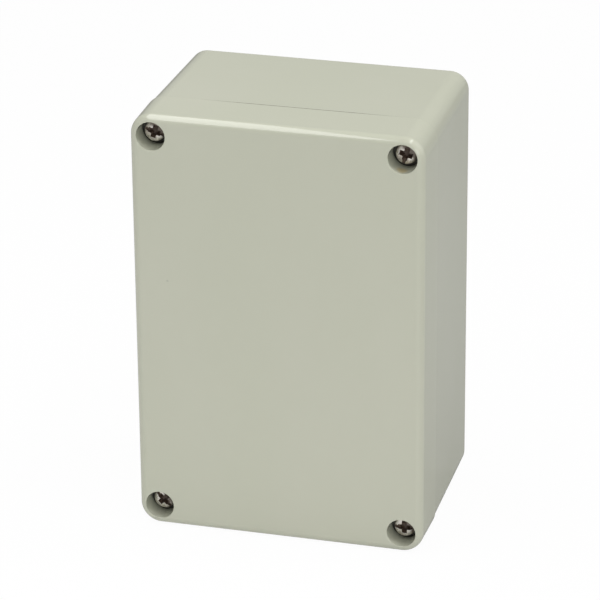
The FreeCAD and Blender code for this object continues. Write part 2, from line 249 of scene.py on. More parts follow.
def arc_points(centre, radius, start, end, segments):
    """Points of an arc in a profile, as radius and y."""
    angles = [start + (end - start) * count / segments for count in range(segments + 1)]
    x, y = centre
    return [(x + radius * math.cos(angle), y + radius * math.sin(angle)) for angle in angles]


def gather(pieces):
    """Several separate solids in one bmesh."""
    whole = bmesh.new()
    for piece in pieces:
        mesh = bpy.data.meshes.new("part")
        piece.to_mesh(mesh)
        piece.free()
        whole.from_mesh(mesh)
        bpy.data.meshes.remove(mesh)
    return whole


def add_object(name, data):
    """An object in the scene that shows a mesh or carries a lamp or a camera."""
    item = bpy.data.objects.new(name, data)
    bpy.context.scene.collection.objects.link(item)
    return item


def new_object(name, bm):
    """An object at the origin with the bmesh as its mesh."""
    mesh = bpy.data.meshes.new(name)
    bm.to_mesh(mesh)
    bm.free()
    return add_object(name, mesh)


def take_evaluated_mesh(piece):
    """Keep the result of the piece's modifiers as its own mesh."""
    depsgraph = bpy.context.evaluated_depsgraph_get()
    mesh = bpy.data.meshes.new_from_object(piece.evaluated_get(depsgraph))
    piece.modifiers.clear()
    old = piece.data
    piece.data = mesh
    bpy.data.meshes.remove(old)


def combine(piece, bm, operation):
    """Add a solid to the piece, or cut it away."""
    tool = new_object("tool", bm)
    modifier = piece.modifiers.new("shape", "BOOLEAN")
    modifier.operation = operation
    modifier.solver = "EXACT"
    modifier.object = tool
    take_evaluated_mesh(piece)
    mesh = tool.data
    bpy.data.objects.remove(tool)
    bpy.data.meshes.remove(mesh)


def tidy_faces(piece):
    """Split the many-sided faces, so that their holes stay open, and merge what coincides."""
    bm = bmesh.new()
    bm.from_mesh(piece.data)
    bmesh.ops.triangulate(bm, faces=[face for face in bm.faces if len(face.verts) > 4])
    bmesh.ops.remove_doubles(bm, verts=bm.verts, dist=MERGE)
    loose = [edge for edge in bm.edges if edge.is_wire]
    bmesh.ops.delete(bm, geom=loose, context="EDGES")
    bm.to_mesh(piece.data)
    bm.free()


def shade(piece, sharp_angle):
    """Smooth shading that keeps flat faces flat and true edges crisp."""
    mesh = piece.data
    mesh.shade_smooth()
    mesh.set_sharp_from_angle(angle=sharp_angle)
    modifier = piece.modifiers.new("even_normals", "WEIGHTED_NORMAL")
    modifier.keep_sharp = True
    modifier.weight = 100


def place(piece, body, node, slot, material):
    """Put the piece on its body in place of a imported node, with its finish."""
    piece.data.materials.clear()
    piece.data.materials.append(material)
    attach(piece, body)
    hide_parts(node)


# Finishes


class Wire:
    """A value inside a material. Arithmetic on it adds Math nodes."""

    def __init__(self, finish, socket):
        self.finish = finish
        self.socket = socket

    def calculate(self, operation, *values):
        settings = {"operation": operation}
        return self.finish.node("ShaderNodeMath", settings, dict(enumerate(values or (self,))))

    def __add__(self, other):
        return self.calculate("ADD", self, other)

    def __mul__(self, other):
        return self.calculate("MULTIPLY", self, other)

    def __sub__(self, other):
        return self.calculate("SUBTRACT", self, other)

    def __rsub__(self, other):
        return self.calculate("SUBTRACT", other, self)

    def larger(self, other):
        return self.calculate("MAXIMUM", self, other)

    __radd__ = __add__
    __rmul__ = __mul__


class Finish:
    """A material under construction."""

    def __init__(self, name):
        self.material = bpy.data.materials.new(name)
        self.material.use_nodes = True
        self.tree = self.material.node_tree
        self.tree.nodes.clear()

    def node(self, kind, settings=None, values=None, output=0):
        """Add a node with its settings and its socket values or links, and return one output."""
        made = self.tree.nodes.new(kind)
        for name, value in (settings or {}).items():
            setattr(made, name, value)
        for name, value in (values or {}).items():
            if isinstance(value, Wire):
                self.tree.links.new(value.socket, made.inputs[name])
            else:
                made.inputs[name].default_value = value
        return Wire(self, made.outputs[output]) if made.outputs else made

    def place(self):
        """Where a point lies on the object, in metres."""
        return self.node("ShaderNodeTexCoord", output="Object")

    def noise(self, scale, detail=3, roughness=0.5, stretch=(1, 1, 1)):
        """Cloudy noise from 0 to 1, with scale in cells per metre."""
        place = self.node("ShaderNodeMapping", values={"Vector": self.place(), "Scale": stretch})
        values = {"Vector": place, "Scale": scale, "Detail": detail, "Roughness": roughness}
        return self.node("ShaderNodeTexNoise", values=values)

    def fade(self, value, low, high, at_low=0, at_high=1):
        """A smooth change from at_low to at_high while the value goes from low to high."""
        settings = {"interpolation_type": "SMOOTHSTEP"}
        values = {"Value": value, 1: low, 2: high, 3: at_low, 4: at_high}
        return self.node("ShaderNodeMapRange", settings, values)

    def mix(self, mask, *pair):
        """One colour turning into another where the mask is 1."""
        first, second = (item if isinstance(item, Wire) else (*item, 1) for item in pair)
        values = {0: mask, 6: first, 7: second}
        return self.node("ShaderNodeMix", {"data_type": "RGBA"}, values, output=2)

    def vector(self, operation, *values, output=0):
        """Arithmetic on places."""
        settings = {"operation": operation}
        return self.node("ShaderNodeVectorMath", settings, dict(enumerate(values)), output=output)

    def distance(self, centre):
        """How far a point of the object lies from a place."""
        return self.vector("DISTANCE", self.place(), centre, output="Value")

    def along(self, axis):
        """The place of a point along one axis."""
        return self.node("ShaderNodeSeparateXYZ", values={0: self.place()}, output=axis)

    def depth(self):
        """How far a point lies behind the lid's face."""
        return self.along("Y") - FRONT_Y

    def from_screw(self):
        """The place of a point beside the axis of the nearest lid screw."""
        centred = self.vector("SUBTRACT", self.place(), (0, 0, MIDDLE_Z))
        axis = self.vector("MULTIPLY", self.vector("SIGN", centred), (SCREW_X, 0, SCREW_Z))
        return self.vector("MULTIPLY", self.vector("SUBTRACT", centred, axis), (1, 0, 1))

    def screw_distance(self):
        """How far a point lies from the axis of the nearest lid screw."""
        return self.vector("LENGTH", self.from_screw(), output="Value")

    def bump(self, height, depth, normal=None):
        """A normal from a height between 0 and 1 that stands for a depth in metres."""
        values = {"Strength": 1.0, "Distance": depth, "Height": height}
        if normal:
            values["Normal"] = normal
        return self.node("ShaderNodeBump", values=values)

    def finish(self, **sockets):
        """The main shader and the output, with underscores for the blanks in socket names."""
        values = {name.replace("_", " "): value for name, value in sockets.items()}
        shader = self.node("ShaderNodeBsdfPrincipled", values=values)
        self.node("ShaderNodeOutputMaterial", values={"Surface": shader})
        return self.material


def moulded_plastic(colours):
    """Satin moulded plastic: fine eroded grain, faint flow clouds, painted shade in the screw
    recesses, a painted shadow along the seam and a painted patch of light.
    """
    finish = Finish("moulded_plastic")
    clouds = finish.noise(28, detail=4, stretch=(1, 1, 0.45))
    grain = finish.noise(5200, detail=2, roughness=0.6)
    waves = finish.noise(45, detail=1)
    dust = finish.noise(900, detail=3, roughness=0.7)
    colour = finish.mix(finish.fade(clouds, 0.3, 0.7), colours.plastic, colours.plastic_warm)
    speckle = finish.fade(dust, 0.66, 0.8) * 0.18
    colour = finish.mix(speckle, colour, colours.plastic_dust)
    # Painted shade at the foot of the screw recesses, a little broken up by the dust noise.
    painted_shade = recess_painted_shade(finish) * finish.fade(dust, 0.2, 0.6, 0.85, 0.95)
    colour = finish.mix(painted_shade, colour, colours.painted_shade)
    # Painted shadow along the seam.
    colour = finish.mix(seam_shadow(finish), colour, colours.painted_shade)
    # A painted patch of beige light low on the wall of the upper right recess.
    painted_light = 1 - finish.fade(finish.distance(painted_light_place()) + dust * 0.6 * MM, 1.0 * MM, 2.4 * MM)
    colour = finish.mix(painted_light * 0.65, colour, colours.painted_light)
    speck = 1 - finish.fade(finish.distance(speck_place()), 0.2 * MM, 0.4 * MM)
    colour = finish.mix(speck * 0.25, colour, colours.speck)
    gloss = finish.fade(clouds, 0.25, 0.75, 0.035, 0.06) + grain * 0.02 + speckle * 0.3 + painted_shade * 0.3
    normal = finish.bump(grain, 0.0005 * MM)
    normal = finish.bump(waves, 0.008 * MM, normal)
    return finish.finish(
        Base_Color=colour, Roughness=gloss, Normal=normal, IOR=1.5, Specular_IOR_Level=0.5
    )


def housing_plastic(context):
    """The one plastic of both halves."""
    made = bpy.data.materials.get("moulded_plastic")
    return made or moulded_plastic(context.scene.projectbox_colours)


def recess_painted_shade(finish):
    """Painted shade on the floor of the screw recesses and up the foot of their walls."""
    depth = finish.depth()
    inside = 1 - finish.fade(finish.screw_distance(), 4.2 * MM, 4.4 * MM)
    foot = finish.fade(depth, 5.7 * MM, 6.05 * MM) * (1 - finish.fade(depth, 7.0 * MM, 7.4 * MM))
    return inside * foot


def seam_shadow(finish):
    """A painted shadow: a fine dark line on top along the lid's rim, strongest halfway between two
    screws.
    """
    depth = finish.depth()
    rim = SEAM_Y - FRONT_Y
    line = finish.fade(depth, rim - 0.4 * MM, rim - 0.34 * MM)
    line = line * (1 - finish.fade(depth, rim + 0.05 * MM, rim + 0.1 * MM))
    line = line * finish.fade(finish.along("Z"), LID_HIGH.z - 0.7 * MM, LID_HIGH.z - 0.45 * MM)
    off_middle = (finish.along("X") - 3 * MM).calculate("ABSOLUTE")
    return line * (1 - finish.fade(off_middle, 12 * MM, 30 * MM)) * 0.9


def painted_light_place():
    """Where the painted patch of beige light lies, low on the wall of the upper right recess."""
    x, z = SCREW_AXES["top_right"]
    return (x - 0.6 * MM, FRONT_Y + 2.2 * MM, z - 3.9 * MM)


def speck_place():
    """The tiny grey speck on the lid's face."""
    return (-30.2 * MM, FRONT_Y, 73.3 * MM)


def worn_steel(colours):
    """Scuffed stainless steel. Brown grease fills the drive; painted shade in the same brown
    darkens the rim and one side of the head.
    """
    finish = Finish("worn_steel")
    scratches = finish.noise(900, detail=4, roughness=0.7, stretch=(1, 0.2, 1))
    blotches = finish.noise(1300, detail=3, roughness=0.6)
    patches = finish.noise(700, detail=2)
    colour = finish.mix(finish.fade(patches, 0.4, 0.65), colours.steel, colours.steel_warm)
    radius = finish.screw_distance()
    crown = radius * radius * (0.5 / CROWN_RADIUS)
    sunk = finish.depth() - HEAD_DEPTH - crown
    on_top = 1 - finish.fade(radius, 2.2 * MM, 2.5 * MM)
    drive = finish.fade(sunk + blotches * 0.1 * MM, 0.07 * MM, 0.17 * MM) * on_top
    # Grease in the slot. Deeper down, the same mask also darkens the side of the head: painted
    # shade.
    slot = finish.fade(sunk + blotches * 0.3 * MM, 0.55 * MM, 0.7 * MM)
    # Painted shade on the rim of the head, which lies in shade at the foot of the recess.
    rim = finish.fade(radius + blotches * 0.5 * MM, 2.75 * MM, 3.05 * MM) * 0.7
    # Painted shade on the upper right side of each head, where the recess wall shades it, broken up
    # by noise.
    side = finish.vector("DOT_PRODUCT", finish.from_screw(), (0.74, 0, 0.67), output="Value")
    shaded_side = finish.fade(side + patches * 1.6 * MM, 1.0 * MM, 1.9 * MM) * 0.85
    # Grease in the drive and the slot, together with the painted shade of the rim and one side.
    grease_and_shade = drive.larger(slot).larger(rim).larger(shaded_side)
    grease_and_shade = grease_and_shade * (1 - finish.fade(sunk, 2.0 * MM, 2.3 * MM))
    colour = finish.mix(grease_and_shade, colour, colours.grease_and_shade)
    rough = finish.fade(scratches, 0.3, 0.7, 0.25, 0.45) + grease_and_shade * 0.1
    normal = finish.bump(scratches, 0.012 * MM)
    return finish.finish(
        Base_Color=colour, Metallic=1 - grease_and_shade * 0.85, Roughness=rough, Normal=normal
    )


def turned_brass(colours):
    """Turned brass with fine tool marks."""
    finish = Finish("turned_brass")
    marks = finish.noise(700, detail=3, stretch=(0.3, 12, 0.3))
    tarnish = finish.noise(500, detail=4, roughness=0.6)
    colour = finish.mix(finish.fade(tarnish, 0.35, 0.7), colours.brass, colours.brass_dark)
    rough = finish.fade(tarnish, 0.3, 0.7, 0.25, 0.45)
    normal = finish.bump(marks, 0.01 * MM)
    return finish.finish(Base_Color=colour, Metallic=1.0, Roughness=rough, Normal=normal)


def foamed_rubber(colours):
    """Foamed elastomer with open pores in its skin."""
    finish = Finish("foamed_rubber")
    values = {"Vector": finish.place(), "Scale": 2400}
    cells = finish.node("ShaderNodeTexVoronoi", values=values, output="Distance")
    pores = finish.fade(cells, 0.1, 0.45)
    bloom = finish.noise(300, detail=4)
    colour = finish.mix(finish.fade(bloom, 0.4, 0.7), colours.rubber, colours.rubber_bloom)
    rough = finish.fade(bloom, 0.3, 0.7, 0.75, 0.92)
    normal = finish.bump(pores, 0.06 * MM)
    return finish.finish(Base_Color=colour, Roughness=rough, Normal=normal)


def white_floor(stage):
    """A floor that is plain white to the camera and keeps a faint shadow.

    To everything else it is white paper in front of the box and dull card behind it and on its
    right, so that metal on the lid mirrors white and the sides keep their own colour.
    """
    paper = (0.88, 0.88, 0.88)
    dull_card = (0.45, 0.45, 0.45)
    card_beyond_light_pool = (0.36, 0.36, 0.36)
    finish = Finish("white_floor")
    mottle = finish.noise(60, detail=3) * 0.04
    slanted = finish.vector("DOT_PRODUCT", finish.place(), (0.6, 1, 0), output="Value")
    behind = finish.fade(slanted, -0.025, 0.02)
    # Painted light: the card turns darker away from the box, the painted edge of a pool of light
    # round it.
    far = finish.fade(finish.distance((0, 0, 0)), 0.15, 0.5) * 0.35
    seen = finish.node("ShaderNodeLightPath", output="Is Camera Ray")
    card = finish.mix(behind + mottle, paper, dull_card)
    card = finish.mix(far, card, card_beyond_light_pool)
    card = finish.mix(seen, card, paper)
    diffuse = finish.node("ShaderNodeBsdfDiffuse", values={"Color": card})
    glow = finish.node("ShaderNodeEmission", values={"Color": (1, 1, 1, 1), "Strength": 1.0})
    mirrored = finish.node("ShaderNodeLightPath", output="Is Glossy Ray")
    through = finish.node("ShaderNodeLightPath", output="Is Transmission Ray")
    share = seen * stage.floor_glow + (mirrored * (1 - behind) + through) * stage.mirror_glow
    surface = finish.node("ShaderNodeMixShader", values={0: share, 1: diffuse, 2: glow})
    finish.node("ShaderNodeOutputMaterial", values={"Surface": surface})
    return finish.material


# Sizes and colours that a user would change


def length(name, default, description):
    """A length, given in millimetres."""
    return FloatProperty(name=name, default=default * MM, description=description, unit="LENGTH")


def angle(name, degrees, description):
    """An angle, given in degrees."""
    return FloatProperty(
        name=name, default=math.radians(degrees), description=description, unit="ROTATION"
    )


def power(name, default, description):
    """The power of a lamp, in watts."""
    return FloatProperty(name=name, default=default, description=description, min=0, unit="POWER")


def level(name, default, description):
    """A strength, or a share between 0 and 1."""
    return FloatProperty(name=name, default=default, description=description, min=0)


def colour(name, default, description):
    """A colour, in linear light."""
    return FloatVectorProperty(
        name=name, default=default, description=description, subtype="COLOR", size=3, min=0, max=1
    )


class HousingSizes(bpy.types.PropertyGroup):
    """Sizes of the moulded base and lid"""

    lid_corner_radius: length("Lid corner", 6.0, "Corner of the lid at the seam")
    base_corner_radius: length("Base corner", 5.6, "Corner of the base at the seam")
    lid_draft: angle("Lid draft", 0.9, "Lean of the lid's sides")
    base_draft: angle("Base draft", 0.75, "Lean of the base's sides")
    inner_draft: angle("Cavity draft", 0.3, "Lean of the cavity walls")
    front_radius: length("Front round", 2.2, "Round along the front edges")
    back_radius: length("Back round", 0.9, "Round along the back edges")
    rim_radius: length("Rim round", 0.2, "Round on both edges of the seam")
    base_step: length("Step", 0.3, "How far the lid stands proud of the base")
    wall: length("Wall", 2.6, "Front and back wall")
    floor_radius: length("Floor round", 1.0, "Round at the foot of the cavity walls")
    cavity_half_width: length("Cavity half width", 37.1, "Middle to the side wall of the cavity")
    cavity_half_height: length("Cavity half height", 57.1, "Middle to the end wall of the cavity")
    block_half_width: length("Block place, across", 18.6, "Middle to a screw block, across")
    block_half_height: length("Block place, along", 47.6, "Middle to a screw block, along")
    cavity_corner_radius: length("Cavity corner", 2.6, "Corner of the cavity outline")
    block_corner_radius: length("Block corner", 3.2, "Corner of a screw block")
    tongue_width: length("Tongue width", 1.2, "Sealing tongue on the base")
    tongue_height: length("Tongue height", 1.4, "Sealing tongue on the base")
    tongue_round: length("Tongue round", 0.3, "Soft edges of the sealing tongue")
    tongue_clearance: length("Tongue clearance", 0.3, "Gap beside the tongue in the groove")
    lip_width: length("Lip", 1.2, "Inner wall of the groove")
    seal_clearance: length("Seal clearance", 0.03, "Gap beside the gasket")
    seal_round: length("Seal round", 0.35, "Soft edges of the gasket")
    rim_gap: length("Seam opening", 0.16, "Widest opening of the seam")
    rim_gap_margin: length("Seam opening margin", 7.0, "From a screw to where the seam opens")
    rim_gap_run: length("Seam opening run", 15.0, "Length over which the seam opens")
    recess_radius: length("Recess", 3.95, "Wall of a screw recess at its mouth")
    recess_draft: angle("Recess draft", 0.3, "Lean of the recess wall")
    recess_depth: length("Recess depth", 6.2, "Front face to the recess floor")
    recess_round: length("Recess mouth round", 0.22, "Soft rim of a recess")
    recess_floor: length("Recess floor", 2.2, "Plastic under the screw head")
    neck_hole_radius: length("Neck hole", 1.35, "Hole in the recess floor")
    thread_room_radius: length("Thread room", 2.1, "Room round the thread inside the lid")
    wall_hole_half_spacing: length("Wall hole place", 25.0, "Middle to a wall hole, across")
    wall_hole_radius: length("Wall hole", 2.2, "Hole for a wall screw")
    channel_radius: length("Channel", 3.8, "Channel for a wall screw")
    channel_floor: length("Channel floor", 4.0, "Plastic under the head of a wall screw")
    insert_hole_radius: length("Insert hole", 2.22, "Hole for a brass insert")
    boss_half_spacing_x: length("Boss place, across", 25.0, "Middle to a board boss, across")
    boss_half_spacing_z: length("Boss place, along", 38.0, "Middle to a board boss, along")
    boss_radius: length("Boss", 3.0, "Board boss")
    boss_height: length("Boss height", 5.0, "Board boss above the back wall")
    pilot_radius: length("Pilot", 1.15, "Pilot hole of a board boss")
    pilot_depth: length("Pilot depth", 5.5, "Pilot hole of a board boss")


class ScrewSizes(bpy.types.PropertyGroup):
    """Sizes of the captive lid screws and their inserts"""

    head_radius: length("Head", 2.85, "Screw head")
    head_height: length("Head height", 2.39, "Screw head")
    head_round: length("Head round", 0.5, "Round of the pan head's edge")
    crown_radius: length("Crown", CROWN_RADIUS / MM, "Dome of the pan head")
    neck_radius: length("Neck", 1.15, "Waist that keeps the screw in the lid")
    neck_length: length("Neck length", 7.7, "Underside of the head to the thread")
    core_radius: length("Thread core", 1.22, "Root of the thread")
    thread_radius: length("Thread", 1.5, "Crest of the thread")
    pitch: length("Pitch", 0.5, "Rise of the thread for each turn")
    slot_width: length("Slot width", 0.9, "Slot of the head")
    slot_depth: length("Slot depth", 0.8, "Slot of the head")
    cross_length: length("Cross length", 3.8, "Cross recess from tip to tip")
    cross_width: length("Cross width", 1.5, "Arm of the cross recess")
    cross_depth: length("Cross depth", 1.7, "Cross recess")
    drive_round: length("Drive round", 0.06, "Broken edges of the slot and the cross")
    insert_groove_depth: length("Insert groove", 0.3, "Groove round the middle of an insert")
    knurl_depth: length("Knurl", 0.1, "Depth of the knurl on an insert")
    bore_radius: length("Bore", 1.55, "Tapped bore of an insert")


class FinishColours(bpy.types.PropertyGroup):
    """Colours of every material, in linear light"""

    plastic: colour("Plastic", (0.500, 0.512, 0.412), "Greenish light grey plastic")
    plastic_warm: colour("Plastic clouds", (0.512, 0.520, 0.425), "Faint clouds in the plastic")
    plastic_dust: colour("Plastic dust", (0.42, 0.43, 0.35), "Fine specks in the plastic")
    # The colour of the painted shade at the foot of the screw recesses and of the painted shadow
    # along the seam.
    painted_shade: colour("Painted_shade", (0.035, 0.034, 0.026), "Dirt at the foot of the screw recesses")
    # Painted light: the colour of a beige patch of light low on the wall of the upper right recess.
    painted_light: colour("Painted_light", (0.52, 0.42, 0.22), "Beige stain in the upper right recess")
    speck: colour("Speck", (0.2, 0.2, 0.19), "The grey speck on the lid")
    steel: colour("Steel", (0.78, 0.75, 0.70), "Screw steel")
    steel_warm: colour("Steel blotches", (0.6, 0.55, 0.5), "Worn patches on the screws")
    # The colour of the grease on the screws and of the painted shade on the rim and one side of
    # each head.
    grease_and_shade: colour("Grease_and_shade", (0.1, 0.068, 0.05), "Grease on the screws")
    brass: colour("Brass", (0.8, 0.6, 0.28), "Insert brass")
    brass_dark: colour("Tarnish", (0.5, 0.36, 0.16), "Tarnish on the brass")
    rubber: colour("Rubber", (0.028, 0.028, 0.028), "Gasket")
    rubber_bloom: colour("Rubber bloom", (0.05, 0.05, 0.048), "Pale bloom on the gasket")


class StageSettings(bpy.types.PropertyGroup):
    """Camera, floor and lights"""

    azimuth: angle("Azimuth", 15.478, "Camera to the right of the lid")
    elevation: angle("Elevation", 23.650, "Camera above the floor")
    roll: angle("Roll", -0.496, "Lean of the picture")
    distance: length("Distance", 961.5, "Camera to the aim point")
    aim_x: length("Aim, across", -1.249, "Aim point across the box")
    aim_z: length("Aim, up", 59.190, "Aim point up the box")
    lens: FloatProperty(name="Lens", default=211.65, description="Focal length", unit="CAMERA")
    left_strip: power("Left strip", 3.45, "Long strip above the left side of the box")
    right_strip: power("Right strip", 1.9, "Long strip above the right side of the box")
    front_softbox: power("Front softbox", 3.05, "In front and to the right of the box")
    side_softbox: power("Side softbox", 11.5, "On the right side of the box")
    room_light: level("Room light", 0.33, "Even light from all round")
    mirror_glow: level("Mirror glow", 0.35, "Share of plain white that mirrors show of the floor")
    floor_glow: level("Floor glow", 0.96, "Share of plain white that the camera sees of the floor")


# The pieces


class PROJECTBOX_OT_add_base(bpy.types.Operator):
    """Build the deep half with its tongue, screw blocks, wall screw channels and board bosses"""

    bl_idname = "projectbox.add_base"
    bl_label = "Base"

    def execute(self, context):
        sizes = context.scene.projectbox_housing
        bm, face = rim_plate(sizes, sizes.base_step, sizes.base_corner_radius, TOWARDS_BACK)
        depth = BACK_Y - SEAM_Y - sizes.rim_radius
        raise_face(bm, face, wall_with_round(depth, sizes.base_draft, sizes.back_radius, 6))
        close_rim(bm, sizes)
        base = new_object("base_shell", bm)

        bm, face = cavity_plate(sizes, sizes.tongue_width, SEAM_Y + OVERSHOOT, TOWARDS_FRONT)
        height = OVERSHOOT + sizes.tongue_height
        raise_face(bm, face, wall_with_round(height, 0, sizes.tongue_round, 3))
        cap_openings(bm)
        combine(base, bm, "UNION")

        hollow_out(base, sizes, 0, 3 * OVERSHOOT, BACK_Y - SEAM_Y, TOWARDS_BACK)

        places = in_four_quarters(sizes.boss_half_spacing_x, sizes.boss_half_spacing_z)
        floor_y = BACK_Y - sizes.wall
        top_y = floor_y - sizes.boss_height
        boss = boss_profile(sizes, floor_y, top_y)
        combine(base, gather([turned(boss, x, z, 48) for x, z in places]), "UNION")

        pilot = pilot_profile(sizes, top_y)
        cutters = [turned(pilot, x, z, 32) for x, z in places]
        channel = channel_profile(sizes, BACK_Y - sizes.channel_floor)
        for x, z in in_four_quarters(sizes.wall_hole_half_spacing, SCREW_Z):
            cutters.append(turned(channel, x, z))
        for corner, (x, z) in SCREW_AXES.items():
            hole = insert_hole_profile(sizes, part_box(f"insert_{corner}")[1].y)
            cutters.append(turned(hole, x, z, 48))
        cutters += [seam_opening(sizes, *side) for side in seam_sides(sizes)]
        combine(base, gather(cutters), "DIFFERENCE")

        tidy_faces(base)
        shade(base, math.radians(32))
        place(base, "base", "base", "housing", housing_plastic(context))
        return {"FINISHED"}


def boss_profile(sizes, floor_y, top_y):
    """A board boss that reaches a little into the wall that it stands on."""
    chamfer = 0.2 * MM
    sunk = 0.3 * MM
    return solid_profile(
        (sizes.boss_radius, floor_y + sunk),
        (sizes.boss_radius, top_y + chamfer),
        (sizes.boss_radius - chamfer, top_y),
    )


def pilot_profile(sizes, top_y):
    """The pilot hole of a board boss."""
    chamfer = 0.25 * MM
    return solid_profile(
        (sizes.pilot_radius + chamfer, top_y - OVERSHOOT),
        (sizes.pilot_radius + chamfer, top_y),
        (sizes.pilot_radius, top_y + chamfer),
        (sizes.pilot_radius, top_y + sizes.pilot_depth),
    )


def channel_profile(sizes, floor_y):
    """The channel of a wall screw and the hole in its floor."""
    chamfer = 0.3 * MM
    foot = 0.5 * MM
    return solid_profile(
        (sizes.channel_radius + chamfer, SEAM_Y - OVERSHOOT),
        (sizes.channel_radius + chamfer, SEAM_Y),
        (sizes.channel_radius, SEAM_Y + chamfer),
        (sizes.channel_radius, floor_y - foot),
        (sizes.channel_radius - foot, floor_y),
        (sizes.wall_hole_radius, floor_y),
        (sizes.wall_hole_radius, BACK_Y - chamfer),
        (sizes.wall_hole_radius + chamfer, BACK_Y),
        (sizes.wall_hole_radius + chamfer, BACK_Y + OVERSHOOT),
    )


def insert_hole_profile(sizes, floor_y):
    """The hole that a brass insert is pressed into."""
    radius = sizes.insert_hole_radius
    return solid_profile((radius, SEAM_Y - OVERSHOOT), (radius, floor_y))


def close_rim(bm, sizes):
    """Close the open side of a housing half with a small round to its rim."""
    raise_face(bm, cap_openings(bm)[0], rounded_edge(sizes.rim_radius, 0, 3))


def hollow_out(piece, sizes, grow, above, depth, facing):
    """Cut the cavity of one half, from above the seam down to the wall at its end."""
    bm, face = cavity_plate(sizes, grow, SEAM_Y - facing * above, facing)
    raise_face(bm, face, drafted_wall(above, 0))
    wall = wall_with_round(depth - sizes.wall, sizes.inner_draft, sizes.floor_radius, 5)
    raise_face(bm, face, wall)
    cap_openings(bm)
    combine(piece, bm, "DIFFERENCE")


def seam_sides(sizes):
    """The four sides on which the seam opens.

    Each has its direction, the way outwards, its half length between two screws, and how far
    the cavity's wall is from the middle.
    """
    across, up = Vector((1, 0, 0)), Vector((0, 0, 1))
    return [
        (across, up, SCREW_X, sizes.cavity_half_height),
        (across, -up, SCREW_X, sizes.cavity_half_height),
        (up, across, SCREW_Z, sizes.cavity_half_width),
        (up, -across, SCREW_Z, sizes.cavity_half_width),
    ]


def seam_opening(sizes, along, outwards, half_length, cavity_half):
    """A shallow wedge cut from the rim between two screws, outside the tongue."""
    end = half_length - sizes.rim_gap_margin
    full = end - sizes.rim_gap_run
    outline = [
        (-end, -OVERSHOOT / 10),
        (-end, 0),
        (-full, sizes.rim_gap),
        (full, sizes.rim_gap),
        (end, 0),
        (end, -OVERSHOOT / 10),
    ]
    start = Vector((0, SEAM_Y, MIDDLE_Z)) + outwards * (cavity_half + sizes.tongue_width)
    bm = bmesh.new()
    corners = [start + along * run + Vector((0, depth, 0)) for run, depth in outline]
    bm.faces.new([bm.verts.new(corner) for corner in corners])
    thicken(bm, outwards * 3 * OVERSHOOT)
    return bm


class PROJECTBOX_OT_add_lid(bpy.types.Operator):
    """Build the shallow half with its screw recesses, gasket groove and cavity"""

    bl_idname = "projectbox.add_lid"
    bl_label = "Lid"

    def execute(self, context):
        sizes = context.scene.projectbox_housing
        bm, face = rim_plate(sizes, 0, sizes.lid_corner_radius, TOWARDS_FRONT)
        depth = SEAM_Y - FRONT_Y - sizes.rim_radius
        raise_face(bm, face, wall_with_round(depth, sizes.lid_draft, sizes.front_radius, 12))
        close_rim(bm, sizes)
        lid = new_object("lid_shell", bm)

        recesses = [turned(recess_profile(sizes), x, z) for x, z in SCREW_AXES.values()]
        combine(lid, gather(recesses), "DIFFERENCE")

        grow = -sizes.tongue_clearance - sizes.lip_width
        hollow_out(lid, sizes, grow, OVERSHOOT, SEAM_Y - FRONT_Y, TOWARDS_FRONT)

        clearance = sizes.tongue_clearance
        top_y = SEAM_Y + OVERSHOOT
        depth = top_y - GASKET_LOW.y
        groove = cavity_ring(
            sizes, -clearance, sizes.tongue_width + clearance, top_y, TOWARDS_FRONT, depth
        )
        combine(lid, groove, "DIFFERENCE")

        tidy_faces(lid)
        shade(lid, math.radians(32))
        place(lid, "lid", "lid", "housing", housing_plastic(context))
        return {"FINISHED"}


def recess_profile(sizes):
    """The space that a lid screw needs, from its recess in front to the seam."""
    mouth = sizes.recess_radius
    soft = sizes.recess_round
    floor_y = FRONT_Y + sizes.recess_depth
    floor_radius = mouth - sizes.recess_depth * math.tan(sizes.recess_draft)
    room_y = floor_y + sizes.recess_floor
    rim_centre = (mouth + soft, FRONT_Y + soft)
    rim = arc_points(rim_centre, soft, math.radians(258), math.radians(180), 5)
    corner = 0.35 * MM
    foot_centre = (floor_radius - corner, floor_y - corner)
    foot = arc_points(foot_centre, corner, 0, math.pi / 2, 4)
    return solid_profile(
        (rim[0][0] + 2 * OVERSHOOT, FRONT_Y - OVERSHOOT),
        *rim,
        *foot,
        (sizes.neck_hole_radius, floor_y),
        (sizes.neck_hole_radius, room_y),
        (sizes.thread_room_radius, room_y),
        (sizes.thread_room_radius, SEAM_Y + OVERSHOOT),
    )


class PROJECTBOX_OT_add_gasket(bpy.types.Operator):
    """Build the seal in the lid's groove"""

    bl_idname = "projectbox.add_gasket"
    bl_label = "Gasket"

    def execute(self, context):
        sizes = context.scene.projectbox_housing
        side = sizes.tongue_clearance - sizes.seal_clearance
        bm = cavity_ring(
            sizes,
            -side,
            sizes.tongue_width + side,
            GASKET_HIGH.y,
            TOWARDS_FRONT,
            GASKET_HIGH.y - GASKET_LOW.y,
        )
        upper = [
            edge
            for edge in bm.edges
            if all(abs(vert.co.y - GASKET_HIGH.y) < MERGE for vert in edge.verts)
            and edge.calc_face_angle(0) > 1
        ]
        round_off(bm, upper, sizes.seal_round, 4, "EDGES")
        gasket = new_object("gasket_ring", bm)
        shade(gasket, math.radians(40))
        place(gasket, "lid", "gasket", "seal", foamed_rubber(context.scene.projectbox_colours))
        return {"FINISHED"}


